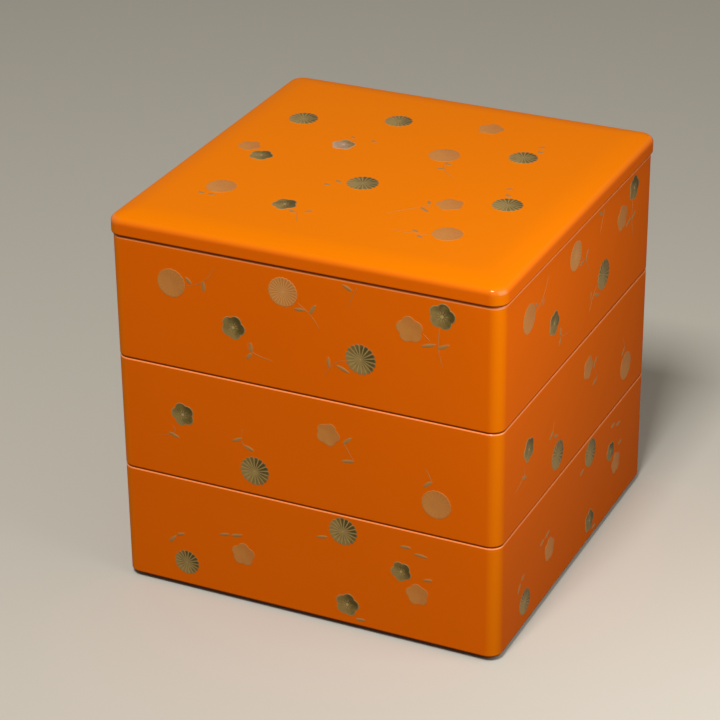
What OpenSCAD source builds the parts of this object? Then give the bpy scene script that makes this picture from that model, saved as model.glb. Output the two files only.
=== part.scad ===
// Stacking lacquer jubako: three square tiers under one softly crowned lid.
// Every tier is a box of four mitred wall boards round a rebated floor board.
// Four locating strips under each floor drop into the tier below.
// The lid is a crowned board on four rails, with strips that drop into the upper tier.
// Millimetres, +Z up, origin at the middle of the base, long seams along X and Y.

/* [Tiers] */
// Outer side of the square tiers
side = 165; // [120:1:240]
// Height of the lower tier's walls
lower_h = 49.7; // [35:0.1:80]
// Height of the middle tier's walls
middle_h = 49.7; // [35:0.1:80]
// Height of the upper tier's walls
upper_h = 52.9; // [35:0.1:80]
// Thickness of the wall boards
wall_t = 7; // [5:0.5:9]
// Radius of the upright outer corners
corner_r = 5.5; // [3:0.5:8]
// Radius of the softened rims, top and bottom
rim_r = 0.6; // [0.3:0.1:1]

/* [Floors] */
// Thickness of the floor boards
floor_t = 5; // [3:0.5:8]
// Depth of the rebate in the walls that takes a floor board's edge
rebate = 3; // [2:0.5:4]

/* [Locating strips] */
// How far the strips stand below the walls
strip_drop = 2; // [1:0.25:4]
// Width of the strips
strip_w = 8; // [5:0.5:14]
// Radius of the strips' outer corners, seen from above
strip_corner_r = 3; // [1:0.5:5]
// Play between the strips and the walls that they drop into
strip_play = 0.5; // [0.3:0.1:1.5]

/* [Lid] */
// How far the lid stands proud of the tiers on each side
lid_overhang = 0.8; // [0:0.1:2.5]
// Height of the rails under the lid board
rail_h = 3; // [2:0.25:6]
// Thickness of the lid board at its edge
lid_edge_t = 3.5; // [2.5:0.25:6]
// Rise of the crown above the edge
crown_rise = 3; // [1:0.25:5]
// Width of the sloping border round the crown's flat middle
slope_w = 13; // [10:1:40]
// Radius of the lid's upper edge
lid_edge_r = 2.4; // [0.5:0.1:2.5]

/* [Hidden] */
$fn = 96;
TIERS = ["lower", "middle", "upper"];
SIDES = ["front", "right", "back", "left"];

vermilion = "#c8570c";
inner_vermilion = "#b8430a";
// How far a cutting tool runs past the face that it cuts
past = 1;

half = side / 2;
lid_half = half + lid_overhang;
lid_corner_r = corner_r + lid_overhang;
inner_half = half - wall_t;
floor_half = inner_half + rebate;
strip_half = inner_half - strip_play;

tier_h = [lower_h, middle_h, upper_h];
tier_z = [strip_drop, strip_drop + lower_h, strip_drop + lower_h + middle_h];
lid_z = tier_z[2] + upper_h;
board_z = lid_z + rail_h;
board_h = lid_edge_t + crown_rise;

// Square with round corners, seen from above
module rounded_square(half_side, r) {
    square([2 * half_side, 2 * (half_side - r)], center = true);
    square([2 * (half_side - r), 2 * half_side], center = true);
    for (x = [-1, 1], y = [-1, 1])
        translate([x * (half_side - r), y * (half_side - r)]) circle(r);
}

// Upright rectangle from height 0 to h, with corners of radius e
module softened_section(half_width, h, e) {
    translate([-half_width, e]) square([2 * half_width, h - 2 * e]);
    translate([-half_width + e, 0]) square([2 * (half_width - e), h]);
    for (x = [-1, 1], z = [e, h - e])
        translate([x * (half_width - e), z]) circle(e);
}

// Square block with upright corners of radius r and edges softened by e
module softened_block(half_side, r, h, e) {
    for (turn = [0, 90])
        rotate([90, 0, turn])
            linear_extrude(2 * (half_side - r), center = true)
                softened_section(half_side, h, e);
    for (x = [-1, 1], y = [-1, 1])
        translate([x * (half_side - r), y * (half_side - r), 0])
            rotate_extrude()
                intersection() {
                    softened_section(r, h, e);
                    square([r, h]);
                }
}

// Quarter of the plan that belongs to one side, cut at 45 degrees at both mitres
module side_wedge(side_index, h) {
    reach = lid_half + past;
    rotate([0, 0, 90 * side_index])
        linear_extrude(h)
            polygon([[0, 0], [-reach, -reach], [reach, -reach]]);
}

// Square pocket from height z0 to z1
module pocket(half_side, z0, z1) {
    translate([-half_side, -half_side, z0])
        cube([2 * half_side, 2 * half_side, z1 - z0]);
}

// One mitred wall board, rebated along its lower inner edge for the floor
module wall(tier, side_index) {
    h = tier_h[tier];
    color(vermilion)
        translate([0, 0, tier_z[tier]])
            intersection() {
                difference() {
                    softened_block(half, corner_r, h, rim_r);
                    pocket(inner_half, floor_t - past, h + past);
                    pocket(floor_half, -past, floor_t);
                }
                side_wedge(side_index, h);
            }
}

// Floor board, let into the rebates so that its underside lies level with the walls
module tier_floor(tier) {
    color(inner_vermilion)
        translate([0, 0, tier_z[tier]])
            pocket(floor_half, 0, floor_t);
}

// One mitred locating strip of height h, with its top at height z
module strip(z, h, side_index) {
    color(vermilion)
        translate([0, 0, z - h])
            intersection() {
                linear_extrude(h)
                    difference() {
                        rounded_square(strip_half, strip_corner_r);
                        square(2 * (strip_half - strip_w), center = true);
                    }
                side_wedge(side_index, h);
            }
}

// One mitred lid rail, softened along its lower edge alone, which rests on the upper tier
module lid_rail(side_index) {
    color(vermilion)
        translate([0, 0, lid_z])
            intersection() {
                difference() {
                    softened_block(lid_half, lid_corner_r, 2 * rail_h, rim_r);
                    pocket(strip_half, -past, rail_h + past);
                }
                side_wedge(side_index, rail_h);
            }
}

// Right half of the crown's section: flat middle, an arc down the border, a round edge
module crown_half_section() {
    slope_r = (slope_w * slope_w + crown_rise * crown_rise) / (2 * crown_rise);
    flat_half = lid_half - slope_w;
    edge_x = lid_half - lid_edge_r;
    // The edge's circle touches the slope's circle from inside
    edge_z = board_h - slope_r + sqrt(pow(slope_r - lid_edge_r, 2) - pow(slope_w - lid_edge_r, 2));
    touch_x = flat_half + (slope_w - lid_edge_r) * slope_r / (slope_r - lid_edge_r);
    square([flat_half, board_h]);
    intersection() {
        translate([flat_half, board_h - slope_r]) circle(slope_r, $fn = 360);
        translate([flat_half, 0]) square([touch_x - flat_half, board_h]);
    }
    square([lid_half, edge_z]);
    intersection() {
        translate([edge_x, edge_z]) circle(lid_edge_r);
        square([lid_half, board_h]);
    }
}

// The crown's section swept from one side of the lid to the other, short of the corners
module crown_sweep(turn) {
    rotate([90, 0, turn])
        linear_extrude(2 * lid_half, center = true) {
            crown_half_section();
            mirror([1, 0]) crown_half_section();
        }
}

// The outer end of the crown's section, turned round an upright corner
module crown_corner() {
    rotate_extrude()
        intersection() {
            translate([lid_corner_r - lid_half, 0]) crown_half_section();
            square([lid_corner_r, board_h]);
        }
}

// Crowned board: the sweeps along both ways meet at the hips, and corners round them off
module lid_board() {
    corner_at = lid_half - lid_corner_r;
    color(vermilion)
        translate([0, 0, board_z]) {
            intersection() {
                crown_sweep(0);
                crown_sweep(90);
                linear_extrude(board_h) {
                    square([2 * lid_half, 2 * corner_at], center = true);
                    square([2 * corner_at, 2 * lid_half], center = true);
                }
            }
            for (x = [-1, 1], y = [-1, 1])
                translate([x * corner_at, y * corner_at, 0]) crown_corner();
        }
}

for (tier = [0 : 2]) {
    tier_floor(tier);
    for (k = [0 : 3]) {
        wall(tier, k);
        strip(tier_z[tier], strip_drop, k);
    }
}
lid_board();
for (k = [0 : 3]) {
    lid_rail(k);
    strip(board_z, rail_h + strip_drop, k);
}
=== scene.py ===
# %% [markdown]
# # A stacking lacquer box
#
# The box is three square tiers under a softly crowned lid. Its wooden core comes from the
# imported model, which is the fixed frame here: every surface below is worked out from the
# sizes of that frame, in metres. Lacquer hides the joints of the core, so the look is a few
# continuous skins, one over each tier and one over the lid, with the scattered flowers as
# thin raised powder on top.

# %% Load the frame
import math

import bpy
import numpy as np
from mathutils import Matrix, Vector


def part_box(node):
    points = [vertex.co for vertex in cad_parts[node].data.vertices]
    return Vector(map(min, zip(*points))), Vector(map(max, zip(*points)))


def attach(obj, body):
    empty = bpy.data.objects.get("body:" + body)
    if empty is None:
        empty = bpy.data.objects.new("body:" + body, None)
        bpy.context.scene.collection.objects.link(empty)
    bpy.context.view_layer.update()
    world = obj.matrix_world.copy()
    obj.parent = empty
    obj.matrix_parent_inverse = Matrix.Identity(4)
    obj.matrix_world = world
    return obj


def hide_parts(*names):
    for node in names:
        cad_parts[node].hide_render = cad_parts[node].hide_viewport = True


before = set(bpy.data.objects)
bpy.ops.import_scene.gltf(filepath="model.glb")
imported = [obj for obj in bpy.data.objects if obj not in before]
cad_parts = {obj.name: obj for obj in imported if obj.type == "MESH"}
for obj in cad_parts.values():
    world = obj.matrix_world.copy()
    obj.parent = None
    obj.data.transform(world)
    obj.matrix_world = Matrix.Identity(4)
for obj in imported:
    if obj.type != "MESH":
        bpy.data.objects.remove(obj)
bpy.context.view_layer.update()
MM = 0.001
TIERS = ("lower", "middle", "upper")
SIDES = ("front", "right", "back", "left")
print("nodes in the frame:", len(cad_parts))

# %% [markdown]
# ## Sizes
#
# The boards of the core give every size. A front wall's box tells how far out the tier
# reaches, where its inner face is, and, through its mitred end, the radius of the upright
# corner: a 45 degree cut meets a round corner of radius r at r * (1 - sqrt(1/2)) inside
# the full width.

# %% Sizes read from the core


def half_and_radius(node):
    """Half width of a square ring, and the radius of its round corners, from its front board."""
    low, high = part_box(node)
    half_width = -low.y
    return half_width, (half_width - high.x) / (1 - math.sqrt(0.5))


tier_half, tier_radius = half_and_radius("lower_front_wall")
lid_half, lid_radius = half_and_radius("lid_front_rail")
inner_half = -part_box("lower_front_wall")[1].y
strip_half = -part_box("lower_front_strip")[0].y
strip_inner_half = -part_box("lower_front_strip")[1].y
wall_low = {tier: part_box(tier + "_front_wall")[0].z for tier in TIERS}
wall_high = {tier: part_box(tier + "_front_wall")[1].z for tier in TIERS}
floor_high = {tier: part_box(tier + "_floor")[1].z for tier in TIERS}
strip_drop = wall_low["lower"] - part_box("lower_front_strip")[0].z
lid_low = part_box("lid_front_rail")[0].z
board_low, lid_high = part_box("lid_board")[0].z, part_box("lid_board")[1].z
print("tier half %.1f mm, corner radius %.2f mm" % (tier_half / MM, tier_radius / MM))
print("lid half %.1f mm, corner radius %.2f mm" % (lid_half / MM, lid_radius / MM))

# %% [markdown]
# ## Camera
#
# A long lens from the front right, looking down by 27 degrees, with a slight roll. Its place
# and its lens were worked out from the straight edges of the box in the photograph, so the
# perspective agrees and no shift is needed.

# %% Camera
CAMERA_PLACE = np.array([408.4, -889.8, 579.9]) * MM
CAMERA_AZIMUTH = math.radians(25.41)
CAMERA_ELEVATION = math.radians(27.138)
CAMERA_ROLL = math.radians(-0.64)
LENS_MM = 133.0


def facing_matrix(place, azimuth, elevation, roll=0.0):
    """World matrix whose Z points back along azimuth and elevation, turned about it by the roll."""
    back = np.array([
        math.sin(azimuth) * math.cos(elevation),
        -math.cos(azimuth) * math.cos(elevation),
        math.sin(elevation),
    ])
    level = np.array([math.cos(azimuth), math.sin(azimuth), 0.0])
    upright = np.cross(back, level)
    right = math.cos(roll) * level + math.sin(roll) * upright
    up = math.cos(roll) * upright - math.sin(roll) * level
    matrix = np.eye(4)
    matrix[:3] = np.stack([right, up, back, place], axis=1)
    return Matrix(matrix.tolist())


camera_data = bpy.data.cameras.new("camera")
camera_data.lens = LENS_MM
camera_data.clip_end = 20
camera = bpy.data.objects.new("camera", camera_data)
camera.matrix_world = facing_matrix(CAMERA_PLACE, CAMERA_AZIMUTH, CAMERA_ELEVATION, CAMERA_ROLL)
bpy.context.scene.collection.objects.link(camera)
bpy.context.scene.camera = camera
bpy.context.scene.view_settings.view_transform = "Standard"
print("camera at", CAMERA_PLACE.round(3))

# %% [markdown]
# ## Colours and nodes
#
# Colours are written as sRGB hex values, as a paint chart gives them, and one function turns
# them linear. One helper adds a node: settings go to the node, and each input is either a
# plain value or a socket to link from.

# %% Colour and node helpers


def linear(hex_colour):
    """sRGB to linear: c / 12.92 up to 0.04045, else ((c + 0.055) / 1.055) to the power 2.4."""
    channels = np.array([int(hex_colour[i:i + 2], 16) for i in (1, 3, 5)]) / 255
    low = channels / 12.92
    high = ((channels + 0.055) / 1.055) ** 2.4
    return tuple(np.where(channels <= 0.04045, low, high)) + (1.0,)


def add_node(tree, kind, inputs=None, **settings):
    """A node of that kind, with its settings, and its inputs set or linked."""
    node = tree.nodes.new(kind)
    for name, value in settings.items():
        setattr(node, name, value)
    for name, value in (inputs or {}).items():
        if isinstance(value, bpy.types.NodeSocket):
            tree.links.new(value, node.inputs[name])
        else:
            node.inputs[name].default_value = value
    return node


def new_material(name):
    """An empty node material, its tree and its output node."""
    material = bpy.data.materials.new(name)
    material.use_nodes = True
    tree = material.node_tree
    tree.nodes.clear()
    return material, tree, tree.nodes.new("ShaderNodeOutputMaterial")


def per_metre(feature_mm):
    """Noise scale at which one feature is about that many millimetres across."""
    return 1000 / feature_mm


print("orange vermilion in linear values:", np.round(linear("#E76500"), 3))

# %% [markdown]
# ## Light and floor
#
# The photograph is lit from the front and the right: the lid is brightest, then the front,
# and the right face falls off downwards and away from the eye. A large soft lamp high in
# front and a smaller one near the right side give that, and the world fills the shadows.
# Floor and surroundings are plain and pale. They show pale to the eye and in reflections,
# and light the walls less than that, as matt sheets far from the lamps would.

# %% Lamps
AIM = np.array([0.0, 0.0, 90 * MM])


def add_lamp(name, azimuth, elevation, distance, size, power):
    """Square area lamp on a sphere round the box, facing it. Azimuth 0 degrees is in front."""
    azimuth, elevation = math.radians(azimuth), math.radians(elevation)
    place = AIM + distance * np.array([
        math.sin(azimuth) * math.cos(elevation),
        -math.cos(azimuth) * math.cos(elevation),
        math.sin(elevation),
    ])
    data = bpy.data.lights.new(name, "AREA")
    data.size = size
    data.energy = power
    lamp = bpy.data.objects.new(name, data)
    lamp.matrix_world = facing_matrix(place, azimuth, elevation)
    lamp.visible_camera = False
    bpy.context.scene.collection.objects.link(lamp)
    print("%s: %.2f W at %.2f m" % (name, power, distance))


add_lamp("key_lamp", azimuth=8, elevation=57, distance=1.5, size=0.35, power=18.5)
add_lamp("side_lamp", azimuth=70, elevation=22, distance=0.28, size=0.2, power=0.29)

# %% Floor and world
FLOOR_REACH = 4.0
FLOOR_SEEN = "#C8C3B7"
FLOOR_BOUNCE = "#6E6B64"
WORLD_COLOUR = "#FAF3E6"
WORLD_SEEN = 0.5
WORLD_FILL = 0.2


def seen_share(tree):
    """1 for rays that show the surroundings: to the eye, mirrored or through glass. Else 0."""
    rays = add_node(tree, "ShaderNodeLightPath").outputs
    share = rays["Is Camera Ray"]
    for kind in ("Is Glossy Ray", "Is Transmission Ray"):
        share = add_node(tree, "ShaderNodeMath", {0: share, 1: rays[kind]}, operation="MAXIMUM").outputs[0]
    return share


def paper():
    """Matt pale paper."""
    material, tree, output = new_material("pale_paper")
    tone = add_node(tree, "ShaderNodeMix", {0: seen_share(tree), 6: linear(FLOOR_BOUNCE),
                                            7: linear(FLOOR_SEEN)}, data_type="RGBA")
    shader = add_node(tree, "ShaderNodeBsdfDiffuse", {"Color": tone.outputs[2]})
    tree.links.new(shader.outputs[0], output.inputs["Surface"])
    return material


floor_mesh = bpy.data.meshes.new("studio_floor")
floor_mesh.from_pydata(
    [(x * FLOOR_REACH, y * FLOOR_REACH, 0) for x, y in ((-1, -1), (1, -1), (1, 1), (-1, 1))],
    [], [(0, 1, 2, 3)])
floor_mesh.materials.append(paper())
studio_floor = bpy.data.objects.new("studio_floor", floor_mesh)
bpy.context.scene.collection.objects.link(studio_floor)

world = bpy.data.worlds.new("studio")
world.use_nodes = True
background = world.node_tree.nodes["Background"]
background.inputs["Color"].default_value = linear(WORLD_COLOUR)
level = add_node(world.node_tree, "ShaderNodeMapRange", {
    "Value": seen_share(world.node_tree), "To Min": WORLD_FILL, "To Max": WORLD_SEEN})
world.node_tree.links.new(level.outputs[0], background.inputs["Strength"])
bpy.context.scene.world = world
print("pale floor, %.0f m each way" % FLOOR_REACH)

# %% [markdown]
# ## The lacquer
#
# The outside is orange vermilion lacquer, polished to a gloss. To the eye that means a deep,
# even colour with no grain, small sharp glints on the rounded corners, and a hardly visible
# skin texture. The pattern scales are real sizes: skin of about 1 mm, and drifts of tone
# about 60 mm across. On top of the lid and on the upright corners the orange is painted a
# little lighter and yellower: painted light. The upper rims are painted lighter, partly for
# a coat rubbed thin and partly as a painted highlight. The edges that are turned under, and
# the inner ends of the rims, are painted dark: painted shade in the joints. The colour coat
# itself is dull. The gloss is a thin clear coat over it, with lacquer's IOR of about 1.5,
# kept weak because the photographed box mirrors little.
# Only where hands polish it, on the corners of the rims and edges, does it mirror fully.

# %% Lacquer
LACQUER_IOR = 1.5
COAT_WEIGHT = 0.07
POLISHED_WEIGHT = 0.9
COAT_ROUGHNESS = 0.1
BODY_ROUGHNESS = 0.5
DRIFT_MM = 60
SKIN_MM = 1.0
SKIN_STRENGTH = 0.1
SKIN_DEPTH = 0.03 * MM


def lacquer(name, colour, shade, marks, coat_roughness):
    """Lacquer over wood: tone drifting from colour to shade, another colour where each mark is 1."""
    material, tree, output = new_material(name)
    place = add_node(tree, "ShaderNodeTexCoord").outputs["Object"]
    drift = add_node(tree, "ShaderNodeTexNoise", {"Vector": place, "Scale": per_metre(DRIFT_MM),
                                                  "Detail": 2.0})
    tone = add_node(tree, "ShaderNodeMix", {0: drift.outputs[0], 6: linear(colour), 7: linear(shade)},
                    data_type="RGBA")
    for label, marked_colour in marks.items():
        share = add_node(tree, "ShaderNodeAttribute", attribute_name=label)
        tone = add_node(tree, "ShaderNodeMix", {0: share.outputs["Fac"], 6: tone.outputs[2],
                                                7: linear(marked_colour)}, data_type="RGBA")
    skin = add_node(tree, "ShaderNodeTexNoise", {"Vector": place, "Scale": per_metre(SKIN_MM),
                                                 "Detail": 3.0})
    bump = add_node(tree, "ShaderNodeBump", {"Height": skin.outputs[0], "Strength": SKIN_STRENGTH,
                                             "Distance": SKIN_DEPTH})
    polished = add_node(tree, "ShaderNodeAttribute", attribute_name="polished")
    weight = add_node(tree, "ShaderNodeMapRange", {"Value": polished.outputs["Fac"],
                                                   "To Min": COAT_WEIGHT, "To Max": POLISHED_WEIGHT})
    shader = add_node(tree, "ShaderNodeBsdfPrincipled", {
        "Base Color": tone.outputs[2],
        "Roughness": BODY_ROUGHNESS,
        "IOR": LACQUER_IOR,
        "Specular IOR Level": 0.0,
        "Coat Weight": weight.outputs[0],
        "Coat Roughness": coat_roughness,
        "Coat IOR": LACQUER_IOR,
        "Normal": bump.outputs[0],
        "Coat Normal": bump.outputs[0],
    })
    tree.links.new(shader.outputs[0], output.inputs["Surface"])
    return material


# The yellower colour is painted light on the lid's top and the upright corners. The lighter colours on the
# rims are partly wear and partly a painted highlight. The dark red is painted shade in the joints.
outer_lacquer = lacquer("vermilion_lacquer", "#E96800", "#E46400",
                        {"painted_light": "#EA7900", "rubbed_and_highlight": "#F58A4A", "painted_shade": "#3E0500"}, COAT_ROUGHNESS)
inner_lacquer = lacquer("inner_vermilion_lacquer", "#DD5A06", "#D65404",
                        {"rubbed_and_highlight": "#E4702C"}, 2 * COAT_ROUGHNESS)
print("lacquers:", outer_lacquer.name, inner_lacquer.name)

# %% [markdown]
# ## Rounded-square skins
#
# Every skin of this box is a stack of rounded squares. A point of the skin is a function of
# two parameters: how far round the square it lies, and how far along the section it lies.
# For the first, a table holds the side of the corner centre and the outward direction. For
# the second, each row of the section holds a half width and a height, and has a corner
# radius. Then place = (half - radius) * centre + radius * direction, one line for a grid.
# A skin that ends in the middle of a floor or a lid closes there in one point, its pole.
#
# Twice the product of the direction's two parts, without its sign, is 1 in the middle of an
# upright corner and 0 on a flat side. That share polishes the corners and paints light on
# them, a little lighter and yellower.

# %% Rounded squares
ARC_STEPS = 10
SIDE_STEPS = 12
CORNER_PAINTED_LIGHT = 0.8
SIDE_POLISH = 0.25


def square_table():
    """Round the square: corner-centre factors (n, 2) and outward directions (n, 2)."""
    centres, directions = [], []
    for corner in range(4):
        angles = math.pi / 2 * (corner - 1 + np.linspace(0, 1, ARC_STEPS + 1))
        arc = np.stack([np.cos(angles), np.sin(angles)], axis=1)
        turn = math.pi / 4 * (2 * corner - 1)
        centre = np.sign([math.cos(turn), math.sin(turn)])
        following = np.array([-centre[1], centre[0]])
        share = np.linspace(0, 1, SIDE_STEPS + 1)[1:-1, None]
        centres += [np.repeat(centre[None], ARC_STEPS + 1, axis=0), centre + share * (following - centre)]
        directions += [arc, np.repeat(arc[-1:], SIDE_STEPS - 1, axis=0)]
    return np.concatenate(centres), np.concatenate(directions)


SQUARE_CENTRES, SQUARE_DIRECTIONS = square_table()
ROUND = len(SQUARE_CENTRES)


def square_rings(rows, radius):
    """Points (rows, round, 3) of the rings whose rows start with half width and height."""
    half, height = rows[:, 0], rows[:, 1]
    radius = np.minimum(radius, half)
    flat = (half - radius)[:, None, None] * SQUARE_CENTRES + radius[:, None, None] * SQUARE_DIRECTIONS
    return np.concatenate([flat, np.broadcast_to(height[:, None, None], flat.shape[:2] + (1,))], axis=2)


print("points round a square:", ROUND)

# %% Faces and meshes


def ring_faces(rings, around, wrap=False):
    """Quads (n, 4) between neighbouring rings, and from the last ring to the first if asked."""
    row = np.arange(rings if wrap else rings - 1)[:, None]
    column = np.arange(around)[None, :]
    near, far = row * around, (row + 1) % rings * around
    beside = (column + 1) % around
    cells = np.stack(np.broadcast_arrays(near + column, near + beside, far + beside, far + column), axis=-1)
    return cells.reshape(-1, 4)


def pole_faces(rings, around):
    """Fans (n, 3) that close the first ring and the last ring, each with a point after the rings."""
    column = np.arange(around)
    beside = (column + 1) % around
    last = (rings - 1) * around
    first_pole = np.full(around, rings * around)
    opening = np.stack([first_pole, beside, column], axis=1)
    closing = np.stack([first_pole + 1, last + column, last + beside], axis=1)
    return np.concatenate([opening, closing])


def signed_volume(points, quads, triangles):
    """Sum over triangles of corner . (corner x corner) / 6. It is positive where faces point out."""
    halves = np.concatenate([quads[:, [0, 1, 2]], quads[:, [0, 2, 3]], triangles])
    a, b, c = (points[halves[:, k]] for k in range(3))
    return np.einsum("ij,ij->", a, np.cross(b, c)) / 6


def make_mesh(name, points, quads, triangles, attributes, materials):
    """Mesh object at the origin with outward faces, smooth shading and its point attributes."""
    if signed_volume(points, quads, triangles) < 0:
        quads, triangles = quads[:, ::-1], triangles[:, ::-1]
    mesh = bpy.data.meshes.new(name)
    mesh.from_pydata(points.tolist(), [], quads.tolist() + triangles.tolist())
    for label, values in attributes.items():
        mesh.attributes.new(label, "FLOAT", "POINT").data.foreach_set("value", np.ravel(values))
    mesh.polygons.foreach_set("use_smooth", np.ones(len(mesh.polygons), dtype=bool))
    for material in materials:
        mesh.materials.append(material)
    mesh.update()
    piece = bpy.data.objects.new(name, mesh)
    bpy.context.scene.collection.objects.link(piece)
    print("%s: %d faces" % (name, len(mesh.polygons)))
    return piece


def make_skin(name, rows, radius, materials):
    """Closed skin of square rings whose section starts and ends in the middle, at a pole each."""
    poles = np.array([[0, 0, rows[0, 1]], [0, 0, rows[-1, 1]]])
    rings = rows[1:-1]
    points = np.concatenate([square_rings(rings, radius[1:-1]).reshape(-1, 3), poles])
    marks = {label: np.append(np.repeat(rings[:, column], ROUND), rows[[0, -1], column])
             for label, column in (("rubbed_and_highlight", 2), ("painted_shade", 3), ("painted_light", 4), ("polished", 5))}
    corners = 2 * abs(SQUARE_DIRECTIONS.prod(axis=1))
    # Painted light on the upright corners: lighter and yellower in their middle.
    marks["painted_light"][:-2] = np.maximum(marks["painted_light"][:-2], np.tile(CORNER_PAINTED_LIGHT * corners, len(rings)))
    marks["polished"][:-2] *= np.tile(SIDE_POLISH + (1 - SIDE_POLISH) * corners, len(rings))
    quads = ring_faces(len(rings), ROUND)
    return make_mesh(name, points, quads, pole_faces(len(rings), ROUND), marks, materials)


# %% [markdown]
# ## Sections of lines and arcs
#
# A section is drawn as a maker would draw it on paper: straight stretches joined by arcs.
# Only the arcs are listed, because straight lines follow from their ends. Beside each arc a
# guard row is added a quarter of a millimetre away, so that smooth shading bends the arc
# alone and the flat stretches stay flat. A row is half width, height, and four marks: how
# much lighter it is painted, partly for a worn coat and partly as a painted highlight; how
# much painted shade it gets in a joint; how much painted light makes it lighter and
# yellower; and how well it is polished. On a straight stretch a mark holds only if both of
# its ends have it. The marks of an arc grow or fall along it. A rim is painted lighter on
# its crown, worn and a painted highlight, and gets painted shade at its inner end, where
# the next tier sits on it.

# %% Sections
FILLET_STEPS = 7
FLAT_GUARD = 0.25 * MM
GROWING = np.linspace(0, 1, FILLET_STEPS)
# Ramps for the painted marks: painted shade growing into a joint, and a rim's crown painted lighter (partly
# wear, partly a painted highlight) with painted shade at its inner end.
INTO_JOINT = GROWING ** 0.4
OUT_OF_JOINT = INTO_JOINT[::-1]
RIM_RUB_AND_HIGHLIGHT = np.interp(GROWING, [0, 0.35, 0.8, 1], [0, 1, 1, 0])
RIM_SHADE = np.clip(0.7 - 2 * GROWING, 0, 1)


def corner(half, height, painted_light=0.0):
    """One row where the section turns without an arc."""
    return np.array([[half, height, 0.0, 0.0, painted_light, 0.0]])


def arc(half, height, radius, start, end, rubbed_and_highlight=0.0, painted_shade=0.0, painted_light=0.0, polished=0.0,
        steps=FILLET_STEPS):
    """Rows on an arc about (half, height): half + r cos a, height + r sin a, angles in degrees."""
    angles = np.radians(np.linspace(start, end, steps))
    marks = [np.broadcast_to(mark, steps) for mark in (rubbed_and_highlight, painted_shade, painted_light, polished)]
    return np.stack([half + radius * np.cos(angles), height + radius * np.sin(angles)] + marks, axis=1)


def guarded(*stretches):
    """One run of rows from several stretches, with guard rows on the straight lines between."""
    rows = [stretches[0]]
    for stretch in stretches[1:]:
        before, after = rows[-1][-1], stretch[0]
        length = math.hypot(*(after - before)[:2])
        if length > 3 * FLAT_GUARD:
            guards = np.stack([before, after]) + np.outer([1, -1], after - before) * FLAT_GUARD / length
            guards[:, 2:] = np.minimum(before, after)[2:]
            rows.append(guards)
        rows.append(stretch)
    return np.concatenate(rows)


# %% [markdown]
# ## The tiers
#
# Each tier's skin starts at the middle of the floor, runs out to the wall, up the inside,
# over the softened rim, down the outside, round the lower edge and back along the underside
# to the middle. So it is one closed surface over four walls and a floor, the way lacquer
# covers them. The inner corners get the small fillet that thick lacquer builds up there,
# and the inside has its own, slightly deeper red finish. The upper tier's rim is rounder
# than the others, because it is the one that shows beside the lid.

# %% Tiers
RIM_RADIUS = {"lower": 0.6 * MM, "middle": 0.6 * MM, "upper": 1.2 * MM}
EDGE_RADIUS = 1.1 * MM
INNER_FILLET = 2.5 * MM
INNER_RADIUS = 3.0 * MM


def tier_skin(tier):
    """One tier's skin over its walls and its floor, in two finishes."""
    low, high, deck, rim = wall_low[tier], wall_high[tier], floor_high[tier], RIM_RADIUS[tier]
    rows = guarded(
        corner(0, deck),
        arc(inner_half - INNER_FILLET, deck + INNER_FILLET, INNER_FILLET, -90, 0),
        # The rims are painted lighter, partly as wear and partly as a painted highlight. The outer rim has
        # painted shade at its inner end, and the lower edge is painted dark: painted shade in the joint.
        arc(inner_half + EDGE_RADIUS, high - EDGE_RADIUS, EDGE_RADIUS, 180, 90, rubbed_and_highlight=1),
        arc(tier_half - rim, high - rim, rim, 90, 0, rubbed_and_highlight=RIM_RUB_AND_HIGHLIGHT, painted_shade=RIM_SHADE, polished=1),
        arc(tier_half - EDGE_RADIUS, low + EDGE_RADIUS, EDGE_RADIUS, 0, -90, painted_shade=INTO_JOINT),
        corner(0, low),
    )
    radius = np.maximum(tier_radius - (tier_half - rows[:, 0]), INNER_RADIUS)
    piece = make_skin(tier + "_lacquer", rows, radius, [outer_lacquer, inner_lacquer])
    centres = np.empty(len(piece.data.polygons) * 3)
    piece.data.polygons.foreach_get("center", centres)
    x, y, z = centres.reshape(-1, 3).T
    inside = (np.maximum(abs(x), abs(y)) < inner_half + EDGE_RADIUS / 2) & (z > deck - MM)
    piece.data.polygons.foreach_set("material_index", inside.astype(int))
    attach(piece, tier + "_tier")
    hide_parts(tier + "_floor", *[f"{tier}_{side}_wall" for side in SIDES])


for tier in TIERS:
    tier_skin(tier)

# %% [markdown]
# ## Locating strips
#
# Four strips under each floor make a square ring that drops into the tier below. Lacquer
# joins them into one ring with softened lower edges. The lid has the same ring, taller by
# the rails that it stands inside. A ring has no middle to close in, so its section is a
# loop instead.

# %% Locating rings
STRIP_EDGE = 0.5 * MM
STRIP_RADIUS = 3.0 * MM
STRIP_INNER_RADIUS = 0.6 * MM


def locating_ring(name, top, drop, body, nodes):
    """Closed ring: a rectangle with softened lower edges, carried round the square."""
    low = top - drop
    rows = guarded(
        corner(strip_half, top),
        arc(strip_half - STRIP_EDGE, low + STRIP_EDGE, STRIP_EDGE, 0, -90),
        arc(strip_inner_half + STRIP_EDGE, low + STRIP_EDGE, STRIP_EDGE, -90, -180),
        corner(strip_inner_half, top),
    )
    share = np.clip((rows[:, 0] - strip_inner_half) / (strip_half - strip_inner_half), 0, 1)
    radius = STRIP_INNER_RADIUS + (STRIP_RADIUS - STRIP_INNER_RADIUS) * share
    quads = ring_faces(len(rows), ROUND, wrap=True)
    none = np.empty((0, 3), dtype=int)
    piece = make_mesh(name, square_rings(rows, radius).reshape(-1, 3), quads, none, {}, [outer_lacquer])
    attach(piece, body)
    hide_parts(*nodes)


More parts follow.
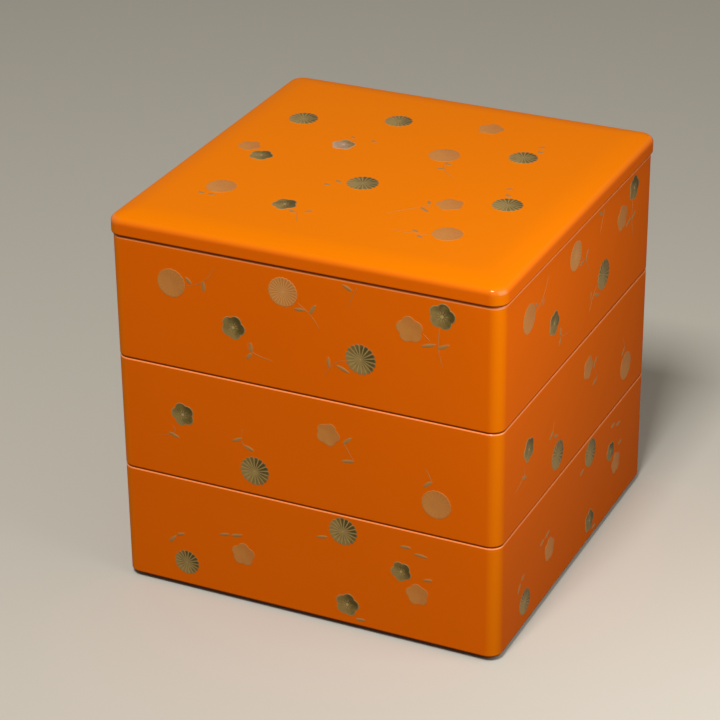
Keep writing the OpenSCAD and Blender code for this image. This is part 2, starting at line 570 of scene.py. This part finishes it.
for tier in TIERS:
    nodes = [f"{tier}_{side}_strip" for side in SIDES]
    locating_ring(tier + "_locating_ring", wall_low[tier], strip_drop, tier + "_tier", nodes)
nodes = [f"lid_{side}_strip" for side in SIDES]
locating_ring("lid_locating_ring", board_low, board_low - lid_low + strip_drop, "lid", nodes)

# %% [markdown]
# ## The lid
#
# The lid's section is a flat middle, an arc that falls down a 13 mm border, a round upper
# edge, a short upright side and a softened lower edge. The arc's radius follows from its
# width w and its fall f: r = (w * w + f * f) / (2 * f). The round edge touches that arc
# from inside and the side from inside, which fixes its centre. Towards the middle the
# rounded squares get rounder corners, so the hips between the four slopes are soft.

# %% Lid section
SLOPE_WIDTH = 13 * MM
CROWN_RISE = 3.0 * MM
LID_EDGE_RADIUS = 2.4 * MM
HIP_RADIUS = 13 * MM
SLOPE_STEPS = 14
slope_radius = (SLOPE_WIDTH ** 2 + CROWN_RISE ** 2) / (2 * CROWN_RISE)
flat_half = lid_half - SLOPE_WIDTH
edge_half = lid_half - LID_EDGE_RADIUS
slope_centre = lid_high - slope_radius
edge_height = slope_centre + math.sqrt(
    (slope_radius - LID_EDGE_RADIUS) ** 2 - (SLOPE_WIDTH - LID_EDGE_RADIUS) ** 2)
touch = math.degrees(math.atan2(edge_height - slope_centre, edge_half - flat_half))
print("the border is an arc of radius %.1f mm" % (slope_radius / MM))


def lid_rows():
    """Rows from the middle of the underside, down the rail, round the side and over the top."""
    return guarded(
        corner(0, board_low),
        corner(strip_half, board_low),
        arc(strip_half + EDGE_RADIUS, lid_low + EDGE_RADIUS, EDGE_RADIUS, 180, 270),
        # The lid's lower edge is painted dark as painted shade in the joint. Its upper edge and top get
        # painted light, a little lighter and yellower.
        arc(lid_half - EDGE_RADIUS, lid_low + EDGE_RADIUS, EDGE_RADIUS, -90, 0, painted_shade=OUT_OF_JOINT),
        arc(edge_half, edge_height, LID_EDGE_RADIUS, 0, touch, painted_light=GROWING, polished=1),
        arc(flat_half, slope_centre, slope_radius, touch, 90, painted_light=1, steps=SLOPE_STEPS)[1:],
        corner(0, lid_high, painted_light=1),
    )


# %% Lid
ROUNDING = 1e-7


def lid_skin():
    """The lid's skin: board and rails under one coat. Corner radii differ below and on top."""
    rows = lid_rows()
    half = rows[:, 0]
    inset = lid_half - half
    soft = np.clip(inset / SLOPE_WIDTH, 0, 1) ** 2
    above = (lid_radius - inset) * (1 - soft) + HIP_RADIUS * soft
    share = np.clip((half - strip_half) / (lid_half - strip_half), 0, 1)
    below = STRIP_RADIUS + (lid_radius - STRIP_RADIUS) * share
    on_top = np.arange(len(rows)) > np.argmax(half > lid_half - ROUNDING)
    piece = make_skin("lid_lacquer", rows, np.where(on_top, above, below), [outer_lacquer])
    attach(piece, "lid")
    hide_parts("lid_board", *[f"lid_{side}_rail" for side in SIDES])


lid_skin()

# %% [markdown]
# ## Sprinkled gold
#
# The flowers are drawn in lacquer and dusted with metal powder while the lacquer is wet, so
# each one stands about a tenth of a millimetre above the wall. A flower is a surface on
# polar coordinates: how far round it, and how far out. Its outline is the distance from its
# middle at each angle, and its height falls off at the rim. The wall is only its seat, so
# the underside lies a little inside the lacquer. Each point also carries two shares: how
# much of a lighter drawn line lies there, between the petals, round the rim and on the
# stamens, and how much painted shade it has, which grows across a flower from one side.
# In the shader that painted shade is added to soft patches of tarnish.

# %% Powder finish
POWDER_ROUGHNESS = 0.5
POWDER_SPECULAR = 0.1
GRAIN_MM = 0.25
GRAIN_STRENGTH = 0.4
GRAIN_DEPTH = 0.05 * MM
PATCH_MM = 3
TARNISH_AND_SHADE_FROM, TARNISH_AND_SHADE_TO = 0.65, 1.35


def powder(name, body, line, dark, metallic):
    """Metal powder in lacquer: body colour, lighter drawn lines, tarnish in soft patches plus painted shade
    from one side, grain.
    """
    material, tree, output = new_material(name)
    place = add_node(tree, "ShaderNodeTexCoord").outputs["Object"]
    drawn = add_node(tree, "ShaderNodeAttribute", attribute_name="drawn")
    painted_side_shade = add_node(tree, "ShaderNodeAttribute", attribute_name="painted_side_shade")
    patches = add_node(tree, "ShaderNodeTexNoise", {"Vector": place, "Scale": per_metre(PATCH_MM),
                                                    "Detail": 2.0})
    # Tarnish in noise patches plus the painted shade that darkens each flower towards one side.
    tarnish_and_shade = add_node(tree, "ShaderNodeMath", {0: patches.outputs[0], 1: painted_side_shade.outputs["Fac"]},
                    operation="ADD")
    share = add_node(tree, "ShaderNodeMapRange", {"Value": tarnish_and_shade.outputs[0], "From Min": TARNISH_AND_SHADE_FROM,
                                                  "From Max": TARNISH_AND_SHADE_TO})
    tone = add_node(tree, "ShaderNodeMix", {0: share.outputs[0], 6: linear(body), 7: linear(dark)},
                    data_type="RGBA")
    lined = add_node(tree, "ShaderNodeMix", {0: drawn.outputs["Fac"], 6: tone.outputs[2],
                                             7: linear(line)}, data_type="RGBA")
    grain = add_node(tree, "ShaderNodeTexNoise", {"Vector": place, "Scale": per_metre(GRAIN_MM),
                                                  "Detail": 2.0})
    bump = add_node(tree, "ShaderNodeBump", {"Height": grain.outputs[0], "Strength": GRAIN_STRENGTH,
                                             "Distance": GRAIN_DEPTH})
    shader = add_node(tree, "ShaderNodeBsdfPrincipled", {
        "Base Color": lined.outputs[2],
        "Metallic": metallic,
        "Roughness": POWDER_ROUGHNESS,
        "Specular IOR Level": POWDER_SPECULAR,
        "Normal": bump.outputs[0],
    })
    tree.links.new(shader.outputs[0], output.inputs["Surface"])
    return material


dark_gold = powder("dark_gold_powder", "#9A8049", "#BA9C64", "#564A24", metallic=0.35)
pale_gold = powder("pale_gold_powder", "#CC853E", "#E2B272", "#C27A38", metallic=0.2)
silver = powder("silver_powder", "#C4A084", "#D0B49C", "#8F7442", metallic=0.3)
leaf_gold = powder("leaf_gold_powder", "#B98445", "#B98445", "#AA7A44", metallic=0.2)
POWDERS = {"dark": ("gold_powder", dark_gold), "pale": ("pale_powder", pale_gold),
           "silver": ("pale_powder", silver)}
print("powders:", [material.name for slot, material in POWDERS.values()], leaf_gold.name)

# %% Flower shapes
POWDER_RISE = 0.08 * MM
POWDER_SINK = 0.05 * MM
PAINTED_SHADE_TOWARDS = math.radians(40)
FLOWER_ROWS = np.array([1.0, 1.0, 0.97, 0.93, 0.88, 0.80, 0.68, 0.56, 0.44, 0.34, 0.25, 0.17, 0.09])
FLOWER_LIFT = np.array([-POWDER_SINK, 0.6 * POWDER_RISE] + [POWDER_RISE] * (len(FLOWER_ROWS) - 2))
OUT = FLOWER_ROWS[:, None]
OUTER_RIM = np.clip((OUT - 0.90) / 0.06, 0, 1)
TIP_SHARE, PLUM_RIM_SHARE = 0.3, 0.6
LINE_CORE, LINE_SHARPNESS = 1.2, 4.4
LOBE_CENTRE, LOBE_RADIUS = 0.49, 0.51
STAMEN_HALF, STAMEN_AT, STAMEN_REACH = 0.3, 0.30, 0.16


def chrysanthemum(petals=18, steps=8, scallop=0.12, strength=1.0):
    """Outline and lines: narrow petals with round ends, and light lines between them.

    The share across is 1 at a petal's edges and 0 in its middle, and the outline is
    1 - scallop * across cubed. The product (1 - across) * out grows like the real distance
    from a petal's edge, so a line keeps its width from the middle to the rim.
    """
    count = petals * steps
    across = abs(np.arange(count) / steps % 1 * 2 - 1)
    between = np.clip(LINE_CORE - (1 - across) * OUT * LINE_SHARPNESS, 0, 1) * np.clip(0.3 + OUT, 0, 1)
    return 1 - scallop * across ** 3, strength * np.maximum(between, TIP_SHARE * OUTER_RIM)


def plum(lobes=5, steps=24, stamen_steps=12, strength=1.0):
    """Outline and lines: five round petals, a light rim, and ten stamens round the middle.

    A petal is a circle of radius r about a centre c away from the flower's middle, and its
    outline at an angle a is c cos a + the root of (r squared - (c sin a) squared).
    """
    count = lobes * steps
    within = (np.arange(count) / steps % 1 - 0.5) * 2 * math.pi / lobes
    aside = LOBE_CENTRE * np.sin(within)
    outline = LOBE_CENTRE * np.cos(within) + np.sqrt(LOBE_RADIUS ** 2 - aside ** 2)
    to_stamen = 1 - abs(np.arange(count) / stamen_steps % 1 * 2 - 1)
    along_stamen = np.clip(1 - abs(OUT - STAMEN_AT) / STAMEN_REACH, 0, 1)
    stamen = np.clip(1.3 - to_stamen / STAMEN_HALF, 0, 1) * along_stamen
    middle = np.clip((0.15 - OUT) / 0.05, 0, 1)
    return outline, strength * np.maximum(PLUM_RIM_SHARE * OUTER_RIM, np.maximum(stamen, middle))


FLOWERS = {
    "chrysanthemum": chrysanthemum(),
    "fine_chrysanthemum": chrysanthemum(petals=24, scallop=0.08, strength=0.7),
    "worn_chrysanthemum": chrysanthemum(scallop=0.05, strength=0.12),
    "plum": plum(),
    "worn_plum": plum(strength=0.05),
}
print("points round a flower:", {kind: len(shape[0]) for kind, shape in FLOWERS.items()})

# %% [markdown]
# ## Where the flowers lie
#
# The same scatter is painted on all four sides of a tier, and the lid has its own. Places
# are in millimetres: along the side from its middle, and up from the lower edge of the
# tier's wall. On the lid they are along X and Y. Each flower also has a dark, pale or
# silvery dusting, and a radius. On a worn flower the drawn lines are nearly gone.

# %% Places of the flowers
FLOWER_PLACES = {
    "upper": (
        ("worn_chrysanthemum", "pale", -55.5, 37.1, 6.1), ("fine_chrysanthemum", "pale", -7.2, 42.6, 6.2),
        ("plum", "dark", -29.0, 23.2, 5.2), ("chrysanthemum", "dark", 25.1, 20.6, 6.5),
        ("worn_plum", "pale", 45.4, 37.3, 5.6), ("plum", "dark", 58.6, 45.3, 5.5),
    ),
    "middle": (
        ("plum", "dark", -53.0, 29.6, 5.2), ("chrysanthemum", "dark", -21.6, 11.2, 6.4),
        ("worn_plum", "pale", 10.8, 34.8, 5.1), ("worn_chrysanthemum", "pale", 56.5, 14.4, 6.2),
    ),
    "lower": (
        ("chrysanthemum", "dark", -54.1, 10.8, 5.6), ("worn_plum", "pale", -28.0, 20.9, 5.2),
        ("chrysanthemum", "dark", 16.7, 42.5, 6.2), ("plum", "dark", 41.6, 30.4, 4.5),
        ("worn_plum", "pale", 48.5, 21.5, 4.9), ("plum", "dark", 18.1, 9.2, 5.2),
    ),
    "lid": (
        ("chrysanthemum", "dark", -55.2, 33.9, 6.2), ("chrysanthemum", "dark", -17.6, 47.0, 5.9),
        ("chrysanthemum", "dark", 44.5, 31.4, 6.0), ("chrysanthemum", "dark", -3.8, -17.9, 6.5),
        ("chrysanthemum", "dark", 56.5, -14.5, 6.2), ("worn_chrysanthemum", "pale", 14.4, 21.0, 6.5),
        ("worn_chrysanthemum", "pale", -53.4, -43.0, 6.1), ("worn_chrysanthemum", "pale", 46.1, -48.8, 6.0),
        ("worn_plum", "pale", 20.9, 54.3, 5.5), ("worn_plum", "pale", -62.3, -1.5, 4.8),
        ("worn_plum", "pale", 36.0, -23.2, 5.5), ("plum", "silver", -27.7, 14.9, 5.0),
        ("plum", "dark", -53.4, -8.5, 5.0), ("plum", "dark", -22.8, -48.5, 5.1),
    ),
}
print("flowers on the lid:", len(FLOWER_PLACES["lid"]))

# %% Places of the sprigs
STEM_WIDTH, LEAF_WIDTH = 0.28, 1.7
SPRIGS = {
    "upper": (
        (STEM_WIDTH, (-50.3, 36.8), (-41.3, 40.3), (-36.3, 47.8)),
        (LEAF_WIDTH, (-46.5, 38.2), (-49.3, 40.8)), (LEAF_WIDTH, (-41.3, 40.5), (-41.3, 35.6)),
        (LEAF_WIDTH, (2.1, 36.7), (-2.7, 36.3)),
        (STEM_WIDTH, (-1.3, 39.8), (1.7, 37.3), (4.7, 34.8), (8.7, 28.8)),
        (LEAF_WIDTH, (3.9, 35.4), (6.7, 40.0)), (LEAF_WIDTH, (22.1, 48.4), (17.7, 50.6)),
        (STEM_WIDTH, (23.7, 50.4), (22.7, 47.8), (19.2, 40.3)),
        (STEM_WIDTH, (-22.3, 18.8), (-21.3, 14.3), (-11.3, 12.1)),
        (LEAF_WIDTH, (-21.8, 18.3), (-21.3, 13.8)), (LEAF_WIDTH, (-21.3, 13.8), (-23.6, 10.6)),
        (STEM_WIDTH, (19.2, 18.8), (13.7, 16.1), (9.7, 9.8)),
        (LEAF_WIDTH, (20.7, 13.6), (14.7, 16.1)), (LEAF_WIDTH, (11.5, 19.0), (11.7, 14.2)),
        (STEM_WIDTH, (50.7, 36.8), (53.7, 34.3)), (STEM_WIDTH, (57.7, 40.8), (57.2, 31.8), (59.2, 23.8)),
        (LEAF_WIDTH, (56.2, 33.2), (50.0, 31.2)), (LEAF_WIDTH, (56.7, 31.6), (61.7, 34.2)),
    ),
    "middle": (
        (STEM_WIDTH, (-58.3, 24.1), (-57.8, 20.1), (-67.3, 17.1)),
        (LEAF_WIDTH, (-59.8, 20.3), (-54.8, 18.4)),
        (STEM_WIDTH, (-26.3, 29.1), (-26.8, 23.1), (-23.3, 19.8)),
        (LEAF_WIDTH, (-26.8, 24.8), (-31.3, 22.4)), (LEAF_WIDTH, (-21.5, 19.9), (-26.1, 21.8)),
        (LEAF_WIDTH, (17.0, 31.8), (20.9, 35.7)),
        (STEM_WIDTH, (17.2, 32.8), (19.2, 29.8), (21.7, 25.3)), (LEAF_WIDTH, (22.2, 25.4), (16.2, 24.3)),
        (STEM_WIDTH, (52.2, 29.1), (54.7, 24.1)), (LEAF_WIDTH, (54.9, 24.2), (51.0, 21.0)),
    ),
    "lower": (
        (LEAF_WIDTH, (-58.4, 22.7), (-54.6, 24.1)), (LEAF_WIDTH, (-58.6, 22.2), (-62, 18.4)),
        (LEAF_WIDTH, (-38.5, 27.6), (-34, 28.8)), (LEAF_WIDTH, (-33.5, 28.4), (-28, 29.8)),
        (LEAF_WIDTH, (5, 37.3), (10, 38.3)), (LEAF_WIDTH, (41, 41.8), (46, 42)),
        (LEAF_WIDTH, (47, 39.8), (53, 39.3)), (LEAF_WIDTH, (51, 28.8), (55, 29.5)),
        (LEAF_WIDTH, (21.6, 3.3), (26, 3.6)),
    ),
    "lid": (
        (LEAF_WIDTH, (-28.5, 23.9), (-26.3, 22.7)), (LEAF_WIDTH, (-19.2, 23.3), (-16.2, 22.5)),
        (LEAF_WIDTH, (-14.9, -19.3), (-11.7, -20.9)), (LEAF_WIDTH, (-17.9, -24.3), (-14.5, -24.9)),
        (STEM_WIDTH, (18.8, 15.9), (19.8, 7.9), (28.3, 1.4)), (LEAF_WIDTH, (17.5, 14.3), (21.3, 12.5)),
        (LEAF_WIDTH, (16.7, 7.7), (20.9, 8.1)), (LEAF_WIDTH, (51.7, -5.3), (54.9, -6.9)),
        (LEAF_WIDTH, (49.9, -0.9), (52.9, 0.7)), (LEAF_WIDTH, (47.1, 40.1), (50.5, 38.7)),
        (LEAF_WIDTH, (45.9, 43.5), (48.9, 45.3)), (LEAF_WIDTH, (28.7, -26.5), (26.9, -22.9)),
        (LEAF_WIDTH, (26.3, -29.9), (31.5, -33.3)),
        (STEM_WIDTH, (30.3, -28.1), (25.3, -31.1), (16.3, -41.1)),
        (LEAF_WIDTH, (-18.9, -52.7), (-15.5, -54.1)), (LEAF_WIDTH, (-12.7, -52.3), (-10.0, -49.9)),
        (STEM_WIDTH, (-15.7, -52.1), (-13.7, -56.1), (-11.2, -62.1)),
        (LEAF_WIDTH, (32.1, -50.3), (35.5, -51.9)), (LEAF_WIDTH, (35.7, -54.3), (38.9, -55.9)),
        (STEM_WIDTH, (40.3, -51.1), (33.3, -53.4), (24.3, -53.1)),
        (LEAF_WIDTH, (-59.5, -51.3), (-55.9, -51.9)), (LEAF_WIDTH, (-54.9, -51.7), (-51.5, -51.1)),
    ),
}
print("strokes in all:", sum(len(strokes) for strokes in SPRIGS.values()))

# %% [markdown]
# ## Painting them on
#
# Every motif is first worked out on a flat sheet, as along, up and out from the sheet. Then
# one function stands that sheet on a side of the box: the front is turned by a quarter turn
# for each following side. The lid's sheet lies on its flat top.

# %% From the sheet to the box


def stand_on_side(sheet, side, base):
    """Sheet points (along, up, out) onto a side: front gives x, -half - out, z, then turned."""
    along, up, out = sheet[..., 0], sheet[..., 1] + base, sheet[..., 2] + tier_half
    x, y = ((along, -out), (out, along), (-along, out), (-out, -along))[side]
    return np.stack([x, y, up], axis=-1)


def lie_on_lid(sheet):
    """Sheet points (along, up, out) onto the lid's flat top."""
    return sheet + np.array([0, 0, lid_high])


def flower_sheet(kind, along, up, radius, turn):
    """Flower on the sheet: rings at row * outline * radius round its middle, poles, marks, sizes."""
    outline, lines = FLOWERS[kind]
    angle = turn + 2 * math.pi * np.arange(len(outline)) / len(outline)
    reach = FLOWER_ROWS[:, None] * outline * radius
    lift = np.broadcast_to(FLOWER_LIFT[:, None], reach.shape)
    rings = np.stack([along + reach * np.cos(angle), up + reach * np.sin(angle), lift], axis=-1)
    poles = np.array([[along, up, -POWDER_SINK], [along, up, POWDER_RISE]])
    # Painted shade: darker towards one side of each flower, the same side on every flower.
    painted_side_shade = 0.5 + 0.5 * reach / radius * np.cos(angle - PAINTED_SHADE_TOWARDS)
    marks = np.stack([np.append(lines, [0, lines.max()]), np.append(painted_side_shade, [0.5, 0.5])])
    return np.concatenate([rings.reshape(-1, 3), poles]), marks, len(FLOWER_ROWS), len(outline)


STROKE_STEPS = 13
LEAF_SWELL, STEM_SWELL = 0.7, 0.25
STROKE_SIDES = np.array([-1.0, -0.8, 0.0, 0.8, 1.0])
STROKE_LIFT = np.array([-POWDER_SINK, 0.7 * POWDER_RISE, POWDER_RISE, 0.7 * POWDER_RISE, -POWDER_SINK])


def stroke_sheet(width, path):
    """Brush stroke on the sheet: a polynomial through the path's points, tapered at both ends."""
    knots = np.array(path, dtype=float) * MM
    share = np.linspace(0, 1, STROKE_STEPS)
    at = np.linspace(0, 1, len(knots))
    curves = [np.polyfit(at, knots[:, k], len(knots) - 1) for k in (0, 1)]
    centre = np.stack([np.polyval(curve, share) for curve in curves], axis=1)
    ahead = np.gradient(centre, axis=0)
    ahead /= np.linalg.norm(ahead, axis=1)[:, None]
    aside = np.stack([-ahead[:, 1], ahead[:, 0]], axis=1)
    swell = np.sin(math.pi * share) ** (LEAF_SWELL if width == LEAF_WIDTH else STEM_SWELL)
    half_width = (0.5 * width * MM * swell)[1:-1, None, None]
    flat = centre[1:-1, None] + STROKE_SIDES[None, :, None] * half_width * aside[1:-1, None]
    lift = np.broadcast_to(STROKE_LIFT[None, :, None], flat.shape[:2] + (1,))
    rings = np.concatenate([flat, lift], axis=2).reshape(-1, 3)
    ends = np.concatenate([centre[[0, -1]], np.full((2, 1), -POWDER_SINK)], axis=1)
    marks = np.array([[0.0], [0.5]]) * np.ones(len(rings) + 2)
    return np.concatenate([rings, ends]), marks, STROKE_STEPS - 2, len(STROKE_SIDES)


# %% Motifs of one body
TURN_STEP = 0.9


def join_sheets(name, sheets, body, material):
    """One mesh from many placed motifs, each turned outwards: points, marks, rings, around."""
    points, marks, quads, triangles, start = [], [], [], [], 0
    for placed, shares, rings, around in sheets:
        cells, fans = ring_faces(rings, around), pole_faces(rings, around)
        step = 1 if signed_volume(placed - placed.mean(axis=0), cells, fans) > 0 else -1
        points.append(placed)
        marks.append(shares)
        quads.append(cells[:, ::step] + start)
        triangles.append(fans[:, ::step] + start)
        start += len(placed)
    drawn, painted_side_shade = np.concatenate(marks, axis=1)
    piece = make_mesh(name, np.concatenate(points), np.concatenate(quads), np.concatenate(triangles),
                      {"drawn": drawn, "painted_side_shade": painted_side_shade}, [material])
    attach(piece, body)


def paint(part, body, stands):
    """All flowers and sprigs of a part, placed by each of the functions in stands."""
    flowers = {tone: [] for tone in POWDERS}
    for index, (kind, tone, along, up, radius) in enumerate(FLOWER_PLACES[part]):
        sheet, *rest = flower_sheet(kind, along * MM, up * MM, radius * MM, turn=TURN_STEP * index)
        flowers[tone] += [(stand(sheet), *rest) for stand in stands]
    for tone, (slot, material) in POWDERS.items():
        if flowers[tone]:
            join_sheets(f"{part}_{tone}_flowers", flowers[tone], body, material)
    strokes = []
    for width, *path in SPRIGS[part]:
        sheet, *rest = stroke_sheet(width, path)
        strokes += [(stand(sheet), *rest) for stand in stands]
    join_sheets(part + "_sprigs", strokes, body, leaf_gold)


for tier in TIERS:
    stands = [lambda sheet, k=k, base=wall_low[tier]: stand_on_side(sheet, k, base) for k in range(4)]
    paint(tier, tier + "_tier", stands)
paint("lid", "lid", [lie_on_lid])
